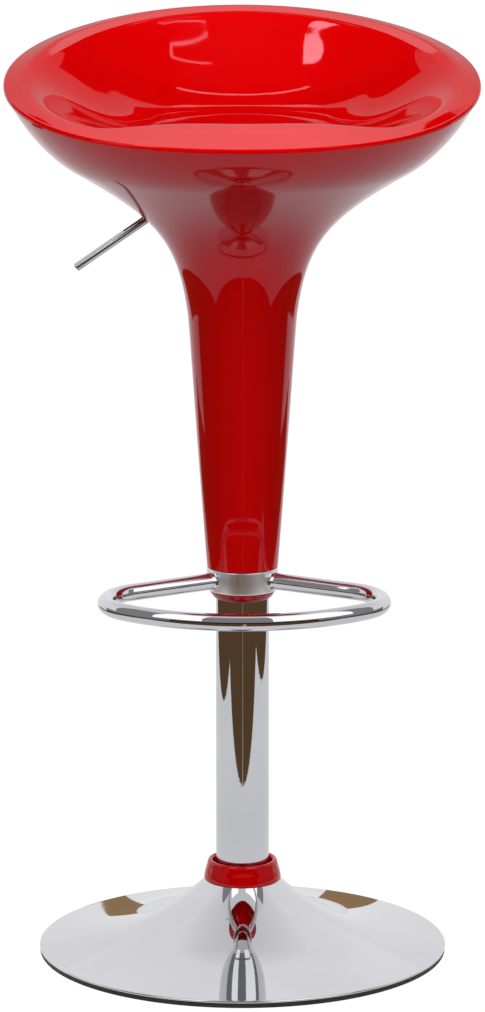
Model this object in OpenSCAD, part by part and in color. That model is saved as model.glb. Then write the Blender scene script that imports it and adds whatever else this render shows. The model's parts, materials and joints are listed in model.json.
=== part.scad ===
// Adjustable swivel bar stool: moulded trumpet seat on a gas-lift column, with a
// tubular footrest, a release lever and a spun round base.
// Millimetres.  Origin on the swivel axis at the floor, +Z up, front of the seat at -Y,
// +X to the sitter's left hand when facing forward from the seat, lever on the -X side.
// Drawn at rest: seat fully raised, lever released.

/* [Base] */

// outer diameter of the spun cover
base_diameter = 385; // [340:5:420]
// height of the top of the red trim ring
ring_top = 88.5; // [80:0.5:100]
// outer radius at the foot of the trim ring
ring_radius = 36.4; // [34:0.2:42]
// thickness of the spun cover
cover_wall = 1.5; // [1:0.1:2.5]
// height of the rubber floor ring
rubber_height = 4.5; // [3:0.5:8]
// thickness of the steel bottom plate
plate_thickness = 2.5; // [2:0.5:6]

/* [Column] */

// outside diameter of the column tube
column_diameter = 50; // [44:1:60]
// wall of the column tube
column_wall = 2; // [1.5:0.5:4]
// height of the top of the column tube
column_top = 440; // [400:5:460]
// outside diameter of the gas-spring cylinder
cylinder_diameter = 28; // [26:1:30]
// diameter of the piston rod
rod_diameter = 10; // [8:1:12]
// running clearance on radius between sliding parts
running_fit = 0.05; // [0.02:0.01:0.10]

/* [Seat] */

// height of the rim at the back
rim_back = 874; // [840:1:900]
// outer radius of the trumpet at its widest
seat_radius = 223.5; // [200:0.5:240]
// wall of the trumpet shell
shell_wall = 3.5; // [2.5:0.1:5]
// thickness of the seat pan
pan_wall = 4; // [3:0.1:6]
// radius of the lip crest around the bowl
bowl_radius = 186; // [170:1:195]
// how far the bowl sits behind the swivel axis
bowl_shift = 25; // [10:1:30]
// height of the lowest point of the bowl
bowl_floor = 785; // [775:1:800]
// height of the bottom of the trumpet
shell_bottom = 372.5; // [360:0.5:390]

/* [Footrest] */

// diameter of the footrest tube
loop_tube = 16; // [14:0.5:22]
// wall of the footrest tube
loop_wall = 1.5; // [1:0.1:3]
// angle of the two arms ahead of the side direction
arm_angle = 31; // [20:1:40]
// centre-line radius of the front arc
front_radius = 165; // [150:1:190]
// centre-line radius of the two corners
corner_radius = 50; // [35:1:60]
// distance of the centre of the front arc ahead of the axis
front_centre = 19; // [10:1:30]
// height of the collar
collar_height = 21; // [16:1:30]

/* [Lever] */

// diameter of the lever rod
lever_rod_diameter = 8; // [6:0.5:10]
// length of the lever from its pivot to its tip
lever_reach = 156; // [140:1:180]
// droop of the lever below horizontal at rest
lever_droop = 34.8; // [25:0.2:40]
// distance from pivot to the valve pin
nose_arm = 26; // [20:1:30]

/* [Hidden] */

$fn = 72;
base_radius = base_diameter / 2;
column_r = column_diameter / 2;
column_bore = column_r - column_wall;
cyl_r = cylinder_diameter / 2;
cyl_bore = 12;
rod_r = rod_diameter / 2;
loop_r = loop_tube / 2;
rim_side = rim_back - 51;
collar_top = shell_bottom - 0.5;
collar_bottom = collar_top - collar_height;
loop_z = collar_bottom + collar_height / 2;
pivot_x = -nose_arm;
pivot_z = 744.3;
seat_plate_z = 760;
pan_edge = 3;       // the shell's edge below the pan's rim
skirt_depth = 12;   // reach of the pan's locating skirt below the rim
band = 13;          // widest flat band inside the crest at the back
band_slope = 0.346; // rise of that band per millimetre outwards
corner_gain = 23;   // extra reach of the crest at the front corners
floor_radius = 100; // where the bowl's floor starts to rise
cover_rim = 7;      // height of the spun cover at its edge
dish_z = 14.5;      // underside of the raised middle of the bottom plate
seat_z = 3.8;       // underside of the bottom plate at its edge
flange_z = 17;      // underside of the column flange
flange_thickness = 6;
bolt_circle = 45;   // radius to the flange bolts
bolt_hole = 4.2;
bolt_r = 4;         // M8
nut_r = 7.5;        // M8 across corners, halved
plug_z = 24;
plug_thickness = 6;
stud_r = 4;         // stepped foot of the piston rod
stud_fit = 4.15;
race_r = 12;
race_thickness = 1.7;
race_z = plug_z + plug_thickness;
ball_r = 2;
ball_circle = 8.2;
ball_gap = 0.3;     // between the balls and each race
ball_z = race_z + race_thickness + ball_gap + ball_r;
rod_foot = ball_z + ball_r + ball_gap + race_thickness;
bush_length = 72;
cylinder_base = 270;
taper_start = 690;
taper_length = 42;
pin_r = 2.95;       // valve pin
housing_base = 726;
housing_wall = 2.5;
screw_square = 60;  // half the spacing of the seat screws
screw_r = 2.5;      // M5
screw_hole = 2.75;
pivot_r = 3;
pivot_fit = 3.05;
clip_offset = 17.6;
collar_r = 33.5;
collar_bore = 29.5;
red = [0.78, 0.02, 0.03];
chrome = [0.80, 0.80, 0.82];
steel = [0.55, 0.56, 0.58];
dark = [0.10, 0.10, 0.11];
acetal = [0.88, 0.87, 0.82];

// ---- curve helpers ---------------------------------------------------------------

// point at t on a cubic Bezier with four control points
function bez(p, t) = let (s = 1 - t)
    s*s*s*p[0] + 3*s*s*t*p[1] + 3*s*t*t*p[2] + t*t*t*p[3];
// n points along a cubic, leaving out the first one unless first is true
function arc_pts(p, n, first = false) = [for (i = [first ? 0 : 1 : n]) bez(p, i / n)];
// open profile moved sideways by d, to the right of its direction of travel
function shift_pts(p, d) = [for (i = [0 : len(p) - 1])
    let (a = p[max(i - 1, 0)], b = p[min(i + 1, len(p) - 1)], v = b - a)
        p[i] + d * [v[1], -v[0]] / norm(v)];
function reverse(p) = [for (i = [len(p) - 1 : -1 : 0]) p[i]];

// ---- trumpet form ----------------------------------------------------------------

// outside profile of the trumpet, [radius, height], from the stem to above the rim
flare = seat_radius / 223.5;
wider = [[flare, 0], [0, 1]];
trumpet = concat(
    arc_pts([[33.2, shell_bottom], [46.5, 541.5], [49, 597.8], [51.1, 613.3]], 7, true),
    arc_pts([[51.1, 613.3], [60.4, 681.1], [80.2*flare, 703.4], [157.6*flare, 748.8]], 14),
    arc_pts([[157.6, 748.8], [194, 770.1], [223.5, 818.1], [223.5, 841.5]] * wider, 14),
    arc_pts([[223.5, 841.5], [223.5, 850], [219.5, 863], [215, 876]] * wider, 5));
trumpet_bore = shift_pts(trumpet, -shell_wall);
trumpet_by_height = [for (p = trumpet) [p[1], p[0]]];
bore_by_height = [for (p = trumpet_bore) [p[1], p[0]]];
function trumpet_r(z) = lookup(z, trumpet_by_height);
function bore_r(z) = lookup(z, bore_by_height);

// height of the upper outer rim for c = cosine of the bearing from straight back
function rim_z(c) = rim_side + 0.2 + 45.5*c + 10.9*c*c - 6.3*c*c*c;

// the rim seen from the side, [distance behind the axis, height]
rim_line = [for (i = [0 : 24]) let (c = -1 + i / 12, z = rim_z(c)) [c * trumpet_r(z), z]];

// everything lower than the rim by at least drop
module below_rim(drop) {
    line = [for (p = rim_line) [p[0], p[1] - drop]];
    rotate([90, 0, 90]) linear_extrude(height = 480, center = true)
        polygon(concat([[-260, 300], [-260, line[0][1]]], line, [[260, line[24][1]], [260, 300]]));
}

module trumpet_shell() color(red) difference() {
    intersection() {
        rotate_extrude($fn = 120)
            polygon(concat(trumpet, reverse(trumpet_bore)));
        below_rim(pan_edge);
    }
    // slot for the lever, as wide as its swing
    lever_slot();
}

module lever_slot() {
    a0 = lever_droop + 6;
    a1 = lever_droop - 13;
    translate([pivot_x, 0, pivot_z]) rotate([90, 0, 0])
        linear_extrude(height = lever_rod_diameter + 3, center = true)
            polygon([[-40*cos(a0), -40*sin(a0)], [-110*cos(a0 - 2), -110*sin(a0 - 2)],
                     [-110*cos(a1), -110*sin(a1)], [-40*cos(a1), -40*sin(a1)]]);
}

// ---- seat pan --------------------------------------------------------------------

pan_steps = 72;
crest_handle = 14;
lip_rows = [1, 0.75, 0.5, 0.25, 0];
bowl_rows = 9;
under_rows = [1, 0.965, 0.93, 0.89, 0.84, 0.78, 0.71, 0.63, 0.55, 0.40, 0.20];

function smooth(t) = let (u = min(max(t, 0), 1)) u*u*(3 - 2*u);

// rise of the lip's crest above the rim: a roll in front of the legs, low at the back
function lip_rise(c) = 6.3 + 11.2 * smooth((-c - 0.68) / 0.32) - 7.1 * smooth((c - 0.2) / 0.8);

// share of that rise lost at t of the way from the crest to the rim: rounded, then straight
function lip_fall(t) = (t < 0.35 ? t*t / 0.7 : t - 0.175) / 0.825;

// distance of the crest from the bowl centre: wider towards the front corners
function crest_r(c) = bowl_radius + corner_gain * smooth((c + 1) / 0.35) * smooth((0.9 - c) / 1.6);

// width of the flat band inside the crest, nothing at the front and sides
function band_width(c) = band * smooth(c / 0.55);

// height of the lip and band at d from the bowl centre, the crest being at crest
function lip_z(d, crest, w, zc, rise) = d < crest ? zc - band_slope * (crest - d)
    : zc - rise * lip_fall((d - crest) / w);

// section through the pan's upper face on the line from the bowl centre to the rim,
// where the rim is l away at height zr: [distance from bowl centre, height], inwards
function pan_section(l, c) = let (
        crest = crest_r(c),
        w = l - crest,
        rise = lip_rise(c),
        zc = rim_z(c) + rise,
        turn = band_width(c) / band,
        edge = crest - band * turn,
        ze = zc - band_slope * band * turn,
        flat_r = floor_radius - 18 * turn,
        wall = [[edge, ze], [edge - crest_handle + 8 * turn, ze - 4 * turn],
                [flat_r + 45, bowl_floor + 1], [flat_r, bowl_floor + 1]])
    concat(
        [for (k = lip_rows) let (d = edge + k * (l - 1.2 - edge)) [d, lip_z(d, crest, w, zc, rise)]],
        [for (i = [1 : bowl_rows]) bez(wall, i / bowl_rows)],
        [[66, bowl_floor + 0.45], [33, bowl_floor + 0.1]]);

// all points of the pan's section at bearing f, rim to centre over the top, then the
// rim, the locating skirt and the underside
function pan_ring(f) = let (
        c = cos(f), zr = rim_z(c), r = trumpet_r(zr),
        e = [r * sin(f), r * cos(f)],
        o = [0, bowl_shift],
        l = norm(e - o), u = (e - o) / l,
        top = pan_section(l, c),
        look = concat([[0, bowl_floor]], reverse(top)),
        r1 = bore_r(zr - pan_edge) - 0.4,
        r2 = bore_r(zr - skirt_depth) - 0.6,
        foot = lookup(c * r1, rim_line) - pan_edge + 0.08,
        ul = l - 8.5,
        under = [for (k = under_rows) let (
                d = ul * k,
                z = lookup(d, look),
                s = (lookup(d + 2, look) - lookup(d - 2, look)) / 4)
            [d, z - min(pan_wall * sqrt(1 + s*s), 8)]],
        dir = [sin(f), cos(f)])
    concat(
        [for (p = reverse(top)) concat(o + u * p[0], [p[1]])],
        [concat(e, [zr - 1.2]), concat(e, [zr - pan_edge + 0.08]),
         concat(dir * r1, [foot]), concat(dir * r2, [zr - skirt_depth]),
         concat(dir * (r2 - 2.2), [zr - skirt_depth])],
        [for (p = under) concat(o + u * p[0], [p[1]])]);

module pan_skin() {
    rings = [for (i = [0 : pan_steps - 1]) pan_ring(i * 360 / pan_steps)];
    m = len(rings[0]);
    n = pan_steps;
    pts = concat([for (j = [0 : m - 1]) for (i = [0 : n - 1]) rings[i][j]],
                 [[0, bowl_shift, bowl_floor], [0, bowl_shift, bowl_floor - pan_wall]]);
    sides = [for (j = [0 : m - 2]) for (i = [0 : n - 1]) let (k = (i + 1) % n)
        each [[j*n + i, j*n + k, (j+1)*n + k], [j*n + i, (j+1)*n + k, (j+1)*n + i]]];
    top = [for (i = [0 : n - 1]) [m*n, (i + 1) % n, i]];
    low = [for (i = [0 : n - 1]) [m*n + 1, (m-1)*n + i, (m-1)*n + (i + 1) % n]];
    polyhedron(pts, [for (t = concat(sides, top, low)) [t[2], t[1], t[0]]], convexity = 8);
}

module seat_pan() color(red) difference() {
    union() {
        pan_skin();
        // screw bosses on the underside
        at_screws() translate([0, 0, seat_plate_z + 3])
            cylinder(r = 7, h = bowl_floor - seat_plate_z - 5);
    }
    at_screws() translate([0, 0, seat_plate_z]) cylinder(r = screw_r + 0.05, h = 20, $fn = 32);
}

// the four screws that hold the pan to its plate
module at_screws() for (x = [-screw_square, screw_square])
    for (y = [-screw_square, screw_square]) translate([x, y, 0]) children();

// ---- base ------------------------------------------------------------------------

module base_cover() color(chrome) {
    dome = concat([[30, 80.5], [30, 76]],
        arc_pts([[30, 76], [30, 73.5], [32.6, 72.3], [34.4, 70.3]], 4),
        arc_pts([[34.4, 70.3], [49.7, 53.9], [71, 38.7], [95, 27]], 12),
        arc_pts([[95, 27], [114.6, 17.4], [141.9, 12.1], [base_radius - 2.5, cover_rim]], 12),
        [[base_radius - 1.2, 6.8], [base_radius - 0.35, 6.3], [base_radius, 5.6]]);
    inner = shift_pts(dome, cover_wall);
    under = [for (p = inner) if (p[0] < base_radius - 2.2) p];
    rotate_extrude($fn = 144) polygon(concat(
        dome, [[base_radius, rubber_height + 0.1], [base_radius - 2, rubber_height + 0.1]],
        reverse(under)));
}

module bottom_plate() color(steel) difference() {
    rotate_extrude($fn = 120) {
        t = plate_thickness;
        polygon([[22, dish_z], [76, dish_z], [148, seat_z], [178, seat_z], [178, seat_z + t],
                 [148.5, seat_z + t], [76.5, dish_z + t], [22, dish_z + t]]);
    }
    flange_holes(10, 20);
}

module floor_ring() color(dark) rotate_extrude($fn = 144)
    polygon([[164, 0], [base_radius - 1.2, 0], [base_radius - 0.6, 0.6],
             [base_radius - 0.6, rubber_height], [179, rubber_height], [179, 3.7], [164, 3.7]]);

module base_ring() color(red) rotate_extrude($fn = 96) {
    r = ring_radius;
    h = ring_top;
    polygon(concat(
        [[30.4, 78.5], [r - 0.8, 69.4], [r - 0.6, 69.2]],
        arc_pts([[r - 0.6, 69.2], [r, 69.2], [r, 70], [r - 0.1, 71]], 4),
        arc_pts([[r - 0.1, 71], [r - 0.6, 77], [r - 2.4, 80.5], [r - 3.4, h - 2.8]], 6),
        arc_pts([[r - 3.4, h - 2.8], [r - 4, h - 0.7], [r - 4.8, h], [r - 5.8, h]], 5),
        arc_pts([[r - 5.8, h], [r - 7.3, h], [28.2, h - 0.8], [28, h - 2.6]], 5),
        [[28, 81], [30.4, 81]]));
}

module column_flange() color(steel) difference() {
    union() {
        translate([0, 0, flange_z]) cylinder(r = 60, h = flange_thickness, $fn = 96);
        // weld to the column
        translate([0, 0, flange_z + flange_thickness])
            cylinder(r1 = column_r + 5, r2 = column_r + 0.5, h = 4.5);
    }
    translate([0, 0, flange_z - 1]) cylinder(r = column_r, h = 14);
    flange_holes(10, 20);
}

module flange_holes(z, h) for (a = [45 : 90 : 315])
    rotate([0, 0, a]) translate([bolt_circle, 0, z]) cylinder(r = bolt_hole, h = h, $fn = 32);

module column_tube() color(chrome) difference() {
    translate([0, 0, flange_z]) cylinder(r = column_r, h = column_top - flange_z, $fn = 96);
    translate([0, 0, flange_z - 1]) cylinder(r = column_bore, h = column_top, $fn = 96);
}

module column_plug() color(steel) difference() {
    translate([0, 0, plug_z]) cylinder(r = column_bore - 0.02, h = plug_thickness, $fn = 96);
    translate([0, 0, plug_z - 1]) cylinder(r = stud_fit, h = plug_thickness + 2);
}

module lower_race() color(steel) translate([0, 0, race_z]) race();

module upper_race() color(steel) translate([0, 0, rod_foot - race_thickness]) race();

module race() difference() {
    cylinder(r = race_r, h = race_thickness);
    translate([0, 0, -1]) cylinder(r = stud_fit, h = race_thickness + 2);
}

module ball_cage() color([0.70, 0.55, 0.25]) difference() {
    translate([0, 0, ball_z - 0.6]) cylinder(r = race_r - 0.4, h = 1.2);
    translate([0, 0, ball_z - 1]) cylinder(r = stud_r + 0.6, h = 2);
    for (a = [0 : 45 : 315]) rotate([0, 0, a])
        translate([ball_circle, 0, ball_z - 1]) cylinder(r = ball_r + 0.1, h = 2, $fn = 32);
}

module bearing_balls() color(steel)
    for (a = [0 : 45 : 315]) rotate([0, 0, a])
        translate([ball_circle, 0, ball_z]) sphere(r = ball_r, $fn = 32);

module guide_bush() color(acetal) difference() {
    union() {
        translate([0, 0, column_top - bush_length])
            cylinder(r = column_bore - 0.02, h = bush_length, $fn = 96);
        translate([0, 0, column_top]) cylinder(r = column_r, h = 3, $fn = 96);
    }
    translate([0, 0, column_top - bush_length - 1])
        cylinder(r = cyl_r + running_fit, h = bush_length + 8, $fn = 96);
}

module flange_bolts() color(steel) for (a = [45 : 90 : 315]) rotate([0, 0, a])
    translate([bolt_circle, 0, 0]) {
        translate([0, 0, dish_z - 5.3]) cylinder(r = nut_r, h = 5.3, $fn = 6);
        translate([0, 0, dish_z - 0.5]) cylinder(r = bolt_r, h = 19, $fn = 32);
    }

module flange_washers() color(steel) for (a = [45 : 90 : 315]) rotate([0, 0, a])
    translate([bolt_circle, 0, flange_z + flange_thickness]) difference() {
        cylinder(r = 8, h = 1.6, $fn = 48);
        translate([0, 0, -1]) cylinder(r = bolt_hole, h = 4, $fn = 32);
    }

module flange_nuts() color(steel) for (a = [45 : 90 : 315]) rotate([0, 0, a])
    translate([bolt_circle, 0, flange_z + flange_thickness + 1.6]) difference() {
        cylinder(r = nut_r, h = 6.4, $fn = 6);
        translate([0, 0, -1]) cylinder(r = bolt_r + 0.05, h = 9, $fn = 32);
    }

// ---- gas spring ------------------------------------------------------------------

module piston_rod() color(chrome) difference() {
    union() {
        translate([0, 0, rod_foot]) cylinder(r = rod_r, h = 266);
        translate([0, 0, 18]) cylinder(r = stud_r, h = rod_foot - 17);
    }
    // groove for the retaining clip
    translate([0, 0, 20.7]) difference() {
        cylinder(r = 6, h = 1.6);
        translate([0, 0, -1]) cylinder(r = 3.2, h = 4);
    }
}

module bump_stop() color(dark) translate([0, 0, rod_foot]) difference() {
    union() {
        cylinder(r = 11, h = 16);
        translate([0, 0, 16]) cylinder(r1 = 11, r2 = 9.5, h = 4);
    }
    translate([0, 0, -1]) cylinder(r = rod_r + 0.02, h = 30);
}

module rod_washer() color(steel) translate([0, 0, 22.3]) difference() {
    cylinder(r = 9, h = 1.5);
    translate([0, 0, -1]) cylinder(r = 4.05, h = 4);
}

module rod_clip() color(dark) translate([0, 0, 20.8]) difference() {
    cylinder(r = 7, h = 1.4);
    translate([0, 0, -1]) cylinder(r = 3.25, h = 4);
    translate([0, -2.6, -1]) cube([10, 5.2, 4]);
}

module gas_piston() color(steel) translate([0, 0, 291]) difference() {
    cylinder(r = cyl_bore - 0.08, h = 12);
    translate([0, 0, -1]) cylinder(r = rod_r + 0.01, h = 20);
    translate([0, 0, 5]) difference() {
        cylinder(r = 14, h = 2);
        translate([0, 0, -1]) cylinder(r = cyl_bore - 1.2, h = 4);
    }
}

module gas_cylinder() color(dark) difference() {
    union() {
        translate([0, 0, cylinder_base])
            cylinder(r = cyl_r, h = taper_start - cylinder_base, $fn = 96);
        translate([0, 0, taper_start])
            cylinder(r1 = cyl_r, r2 = cyl_r - 1, h = taper_length, $fn = 96);
    }
    translate([0, 0, cylinder_base - 1]) cylinder(r = cyl_bore, h = 460, $fn = 96);
    translate([0, 0, 725]) cylinder(r = 9, h = 10);
}

module rod_guide() color(acetal) translate([0, 0, cylinder_base]) difference() {
    cylinder(r = cyl_bore - 0.02, h = 20);
    translate([0, 0, -1]) cylinder(r = rod_r + running_fit, h = 30);
}

module valve_body() color([0.72, 0.58, 0.28]) difference() {
    translate([0, 0, 700]) cylinder(r = cyl_bore - 0.02, h = 28.9);
    translate([0, 0, 706]) cylinder(r = pin_r + running_fit, h = 30, $fn = 48);
}

module valve_pin() color(chrome) translate([0, 0, 711]) {
    cylinder(r = pin_r, h = 26, $fn = 48);
    translate([0, 0, 26]) cylinder(r1 = pin_r, r2 = pin_r - 0.75, h = 1, $fn = 48);
}

// ---- seat mechanism --------------------------------------------------------------

module taper_socket() color(steel) difference() {
    translate([0, 0, taper_start]) cylinder(r = 18, h = 39);
    translate([0, 0, taper_start])
        cylinder(r1 = cyl_r + 0.03, r2 = cyl_r - 0.97, h = taper_length, $fn = 96);
    translate([0, 0, taper_start - 1]) cylinder(r = cyl_r + 0.03, h = 1.2, $fn = 96);
}

module lever_housing() color(dark) difference() {
    union() {
        for (y = [-16, 16 - housing_wall])
            translate([-42, y, housing_base]) cube([87, housing_wall, seat_plate_z - housing_base]);
        translate([-23, -16, housing_base]) cube([68, 32, 3]);
        // outward flanges welded under the seat plate
        for (y = [-30, 15])
            translate([-42, y, seat_plate_z - housing_wall]) cube([87, 15, housing_wall]);
    }
    translate([0, 0, housing_base - 6]) cylinder(r = 18, h = 10);
    translate([pivot_x, 0, pivot_z]) rotate([90, 0, 0])
        cylinder(r = pivot_fit, h = 60, center = true, $fn = 48);
}

module seat_plate() color(steel) difference() {
    translate([-75, -75, seat_plate_z]) cube([150, 150, 3]);
    at_screws() translate([0, 0, seat_plate_z - 1])
        cylinder(r = screw_hole, h = 6, $fn = 32);
    translate([0, 0, seat_plate_z - 1]) cylinder(r = 12, h = 6);
}

module plate_screws() color(steel) at_screws() difference() {
    union() {
        translate([0, 0, seat_plate_z - 4.6]) cylinder(r = 4.6, h = 3.4, $fn = 48);
        translate([0, 0, seat_plate_z - 2]) cylinder(r = screw_r, h = 20, $fn = 32);
    }
    translate([0, 0, seat_plate_z - 5]) cylinder(r = 2, h = 2.4, $fn = 6);
}

module plate_washers() color(steel) at_screws()
    translate([0, 0, seat_plate_z - 1.2]) difference() {
        cylinder(r = 6, h = 1.2, $fn = 48);
        translate([0, 0, -1]) cylinder(r = screw_hole, h = 4, $fn = 32);
    }

module pivot_pin() color(steel) translate([pivot_x, 0, pivot_z]) rotate([90, 0, 0])
    difference() {
        cylinder(r = pivot_r, h = 40, center = true, $fn = 48);
        for (s = [-1, 1]) translate([0, 0, s * clip_offset]) difference() {
            cylinder(r = 4, h = 1.2, center = true);
            cylinder(r = 2.4, h = 2, center = true, $fn = 48);
        }
    }

module pivot_clips() color(dark) for (s = [-1, 1])
    translate([pivot_x, -s * clip_offset, pivot_z]) rotate([90, 0, 0]) difference() {
        cylinder(r = 5.2, h = 1, center = true, $fn = 48);
        cylinder(r = 2.45, h = 2, center = true, $fn = 48);
        translate([0, -1.9, -1]) cube([8, 3.8, 2]);
    }

module lever_yoke() color(steel) difference() {
    union() {
        translate([pivot_x, 0, pivot_z]) rotate([90, 0, 0]) {
            cylinder(r = 8, h = 16, center = true);
            // arm to the nose
            translate([0, -4.5, -6]) cube([nose_arm, 9, 12]);
            translate([nose_arm, 0, 0]) cylinder(r = 6, h = 12, center = true);
        }
        // sleeve round the lever rod
        lever_frame() translate([0, 0, 5]) cylinder(r = 6.5, h = 27);
    }
    translate([pivot_x, 0, pivot_z]) rotate([90, 0, 0])
        cylinder(r = pivot_fit, h = 30, center = true, $fn = 48);
    lever_frame() translate([0, 0, 10]) cylinder(r = lever_rod_diameter / 2, h = 40);
}

// frame with Z running from the pivot along the lever
module lever_frame() translate([pivot_x, 0, pivot_z]) rotate([0, -90 - lever_droop, 0]) children();

module lever_rod() color(chrome) lever_frame() {
    translate([0, 0, 10]) cylinder(r = lever_rod_diameter / 2, h = lever_reach - 11);
    translate([0, 0, lever_reach - 1])
        cylinder(r1 = lever_rod_diameter / 2, r2 = lever_rod_diameter / 2 - 1, h = 1);
}

// ---- stem end and footrest -------------------------------------------------------

module stem_bush() color(red) difference() {
    union() {
        translate([0, 0, collar_bottom - 8])
            cylinder(r1 = 26.5, r2 = 31.3, h = 6.5, $fn = 96);
        translate([0, 0, collar_bottom - 1.5]) cylinder(r = 31.3, h = 1.3, $fn = 96);
        translate([0, 0, collar_bottom - 1]) cylinder(r = collar_bore - 0.1, h = 44, $fn = 96);
    }
    translate([0, 0, collar_bottom - 9]) cylinder(r = column_r + 0.1, h = 60, $fn = 96);
    collar_threads(screw_r + 0.05);
}

module footrest_collar() color(chrome) difference() {
    rotate_extrude($fn = 96) polygon([
        [collar_bore, collar_bottom], [collar_r - 0.8, collar_bottom],
        [collar_r, collar_bottom + 0.8], [collar_r, collar_top - 0.8],
        [collar_r - 0.8, collar_top], [collar_bore, collar_top]]);
    collar_threads(screw_r + 0.05);
}

// two radial screw holes at the rear of the collar
module collar_threads(r) for (a = [60, 120]) rotate([0, 0, a])
    translate([26.6, 0, loop_z]) rotate([0, 90, 0]) cylinder(r = r, h = 12, $fn = 32);

module collar_screws() color(dark) for (a = [60, 120]) rotate([0, 0, a])
    translate([26.8, 0, loop_z]) rotate([0, 90, 0]) difference() {
        cylinder(r = screw_r, h = 6, $fn = 32);
        translate([0, 0, 3]) cylinder(r = 1.4, h = 4, $fn = 6);
    }

// Corner centre: touches the arm line on one side and the front arc on the inside.
arm = [cos(arm_angle), -sin(arm_angle)];
arm_side = [-sin(arm_angle), -cos(arm_angle)];
corner_base = corner_radius * arm_side + [0, front_centre];
corner_half = arm * corner_base;
arm_length = -corner_half + sqrt(corner_half*corner_half - corner_base*corner_base
    + (front_radius - corner_radius)*(front_radius - corner_radius));
corner = arm_length * arm + corner_radius * arm_side;
front_half = atan2(corner[0], -(corner[1] + front_centre));

module bent_tube(r) {
    for (s = [0, 1]) mirror([s, 0, 0]) {
        rotate([0, 0, -arm_angle]) translate([20, 0, 0]) rotate([0, 90, 0])
            cylinder(r = r, h = arm_length - 20, $fn = 48);
        translate([corner[0], corner[1], 0]) rotate([0, 0, front_half - 90])
            rotate_extrude(angle = 180 - front_half - arm_angle, $fn = 120)
                translate([corner_radius, 0]) circle(r = r, $fn = 48);
    }
    translate([0, -front_centre, 0]) rotate([0, 0, -90 - front_half])
        rotate_extrude(angle = 2 * front_half, $fn = 160)
            translate([front_radius, 0]) circle(r = r, $fn = 48);
}

// narrow rings over the four places where a bend meets the next length of tube
module bend_joints(r) for (s = [0, 1]) mirror([s, 0, 0]) {
    rotate([0, 0, -arm_angle]) translate([arm_length - 0.4, 0, 0]) rotate([0, 90, 0])
        cylinder(r = r, h = 0.8, $fn = 48);
    translate([0, -front_centre, 0]) rotate([0, 0, front_half - 90])
        translate([front_radius, -0.4, 0]) rotate([-90, 0, 0]) cylinder(r = r, h = 0.8, $fn = 48);
}

module footrest_loop() color(chrome) difference() {
    union() {
        translate([0, 0, loop_z]) bent_tube(loop_r);
        translate([0, 0, loop_z]) bend_joints(loop_r + 0.05);
        // weld beads at the collar
        for (s = [0, 1]) mirror([s, 0, 0]) rotate([0, 0, -arm_angle])
            translate([31, 0, loop_z]) rotate([0, 90, 0])
                cylinder(r1 = loop_r + 2.6, r2 = loop_r, h = 6, $fn = 48);
    }
    translate([0, 0, loop_z]) bent_tube(loop_r - loop_wall);
    translate([0, 0, 300]) cylinder(r = collar_r, h = 120, $fn = 96);
}

base_cover();
bottom_plate();
floor_ring();
base_ring();
column_flange();
column_tube();
column_plug();
lower_race();
guide_bush();
flange_bolts();
flange_washers();
flange_nuts();
ball_cage();
bearing_balls();
piston_rod();
upper_race();
bump_stop();
rod_washer();
rod_clip();
gas_piston();
gas_cylinder();
rod_guide();
valve_body();
taper_socket();
lever_housing();
seat_plate();
plate_screws();
plate_washers();
pivot_pin();
pivot_clips();
seat_pan();
trumpet_shell();
stem_bush();
footrest_collar();
footrest_loop();
collar_screws();
lever_rod();
lever_yoke();
valve_pin();
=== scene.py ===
"""Looks of the adjustable swivel bar stool: glossy red trumpet seat, chrome column, footrest and base."""

import json
import math
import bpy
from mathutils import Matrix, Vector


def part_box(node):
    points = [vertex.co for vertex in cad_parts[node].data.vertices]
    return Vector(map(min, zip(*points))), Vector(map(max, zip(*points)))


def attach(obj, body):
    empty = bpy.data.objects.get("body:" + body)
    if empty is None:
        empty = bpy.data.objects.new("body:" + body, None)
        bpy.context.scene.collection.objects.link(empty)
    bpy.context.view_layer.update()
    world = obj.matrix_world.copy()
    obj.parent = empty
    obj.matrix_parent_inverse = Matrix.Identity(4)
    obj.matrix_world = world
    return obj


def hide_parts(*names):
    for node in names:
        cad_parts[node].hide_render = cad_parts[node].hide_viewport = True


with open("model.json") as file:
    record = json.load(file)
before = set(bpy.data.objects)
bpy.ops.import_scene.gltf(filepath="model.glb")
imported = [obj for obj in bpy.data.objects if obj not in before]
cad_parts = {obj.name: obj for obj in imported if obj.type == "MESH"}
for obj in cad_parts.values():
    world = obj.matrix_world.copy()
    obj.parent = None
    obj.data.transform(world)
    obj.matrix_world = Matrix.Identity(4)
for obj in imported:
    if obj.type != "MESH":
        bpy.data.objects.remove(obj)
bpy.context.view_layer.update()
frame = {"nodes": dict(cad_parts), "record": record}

import bpy
import bmesh
import numpy as np
from mathutils import Matrix, Vector

MM = 0.001
NODES = frame["nodes"]


# ---- sizes taken from the frame ---------------------------------------------------------

SHELL_LOW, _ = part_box("trumpet_shell")
_, COVER_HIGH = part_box("base_cover")
RING_LOW, RING_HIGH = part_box("base_ring")
COLUMN_LOW, COLUMN_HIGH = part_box("column_tube")
COLLAR_LOW, COLLAR_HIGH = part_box("footrest_collar")
BUSH_LOW, BUSH_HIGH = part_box("stem_bush")
LOOP_LOW, LOOP_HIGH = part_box("footrest_loop")
_, RUBBER_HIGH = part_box("floor_ring")

SHELL_BOTTOM = SHELL_LOW.z / MM
COLUMN_R = COLUMN_HIGH.x / MM
BASE_R = COVER_HIGH.x / MM
LOOP_Z = (LOOP_LOW.z + LOOP_HIGH.z) / 2 / MM
LOOP_TUBE_R = 8.0


# ---- curves ---------------------------------------------------------------------------


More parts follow.
